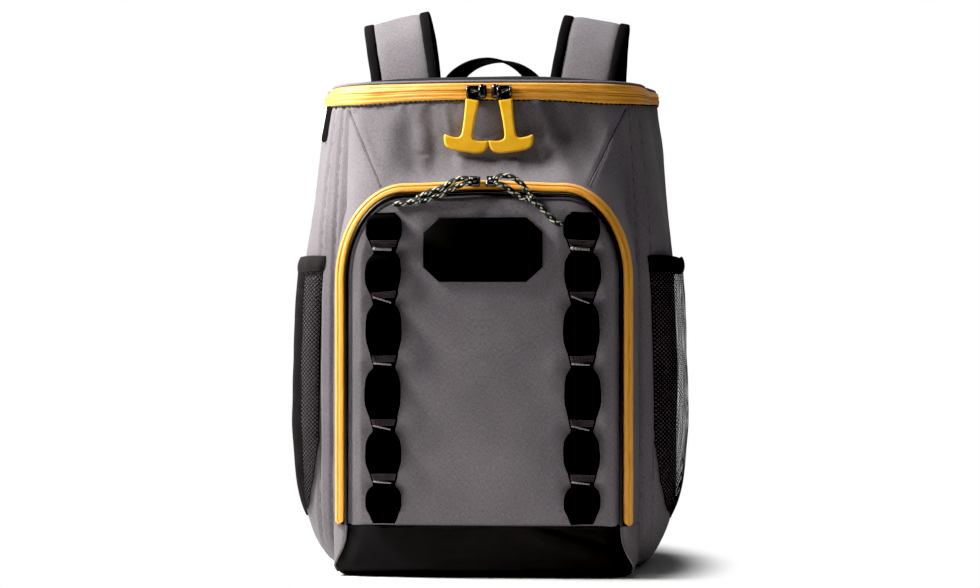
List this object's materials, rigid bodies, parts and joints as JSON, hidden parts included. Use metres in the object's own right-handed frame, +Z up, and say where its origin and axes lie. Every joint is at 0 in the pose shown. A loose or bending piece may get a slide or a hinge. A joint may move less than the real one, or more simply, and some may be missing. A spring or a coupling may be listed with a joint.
{
  "type": "cooler backpack",
  "caption": "Upright padded cooler backpack with a zipped lid, arched front pocket, net side pockets, webbing loops and padded shoulder straps.",
  "frame": {"origin": "middle of the flat base, on the floor", "axes": "+Z up, -Y is the front with the pocket and badge, +Y is the back with the straps, +X is the bag's right side as seen from the front"},
  "size_m": [0.3744, 0.316, 0.5353],
  "materials": {
    "grey_canvas": "matt two tone canvas",
    "black_cloth": "plain woven, slightly coarse",
    "black_webbing": "ribbed woven webbing",
    "orange_zip": "woven zip tape with a coil",
    "orange_rubber": "soft moulded, satin",
    "black_slider": "black coated, glossy",
    "flecked_cord": "braided, pale flecks",
    "badge_rubber": "moulded, satin, bare",
    "black_net": "stretch net",
    "woven_label": "woven, pale edge, bare",
    "lock_plastic": "moulded, fine grain"
  },
  "bodies": {
    "bag": {"body_shell": "grey_canvas", "lid": "black_cloth", "lid_binding": "grey_canvas", "top_zip_band": "orange_zip", "lid_hinge": "grey_canvas", "top_slider_left": "black_slider", "top_slider_right": "black_slider", "front_pocket": "grey_canvas", "pocket_zip": "orange_zip", "pocket_piping": "black_webbing", "pocket_slider_left": "black_slider", "pocket_slider_right": "black_slider", "cord_left_upper": "flecked_cord", "cord_left_lower": "flecked_cord", "cord_left_tail": "flecked_cord", "cord_left_knot": "flecked_cord", "cord_right_upper": "flecked_cord", "cord_right_lower": "flecked_cord", "cord_right_tail": "flecked_cord", "cord_right_knot": "flecked_cord", "webbing_chain_left": "black_webbing", "webbing_chain_right": "black_webbing", "badge": "badge_rubber", "base_boot": "black_cloth", "corner_gusset_left": "grey_canvas", "corner_gusset_right": "grey_canvas", "mesh_pocket_left": "black_net", "mesh_pocket_right": "black_net", "mesh_binding_left": "black_webbing", "mesh_binding_right": "black_webbing", "label_tab": "woven_label", "back_panel": "black_cloth", "haul_loop": "black_webbing", "shoulder_strap_left": "grey_canvas", "shoulder_strap_right": "grey_canvas", "strap_binding_outer_left": "black_webbing", "strap_binding_outer_right": "black_webbing", "strap_binding_inner_left": "black_webbing", "strap_binding_inner_right": "black_webbing", "ladder_lock_left": "lock_plastic", "ladder_lock_right": "lock_plastic", "strap_webbing_left": "black_webbing", "strap_webbing_right": "black_webbing"},
    "pull_left": {"t_pull_left": "orange_rubber"},
    "pull_right": {"t_pull_right": "orange_rubber"}
  },
  "joints": [
    {"name": "pull_left_swing", "type": "hinge", "parent": "bag", "child": "pull_left", "pos_m": [-0.0101, -0.0779, 0.4323], "axis": [-1, 0, 0], "range_deg": [0, 150]},
    {"name": "pull_right_swing", "type": "hinge", "parent": "bag", "child": "pull_right", "pos_m": [0.0175, -0.0779, 0.4323], "axis": [-1, 0, 0], "range_deg": [0, 150]}
  ]
}
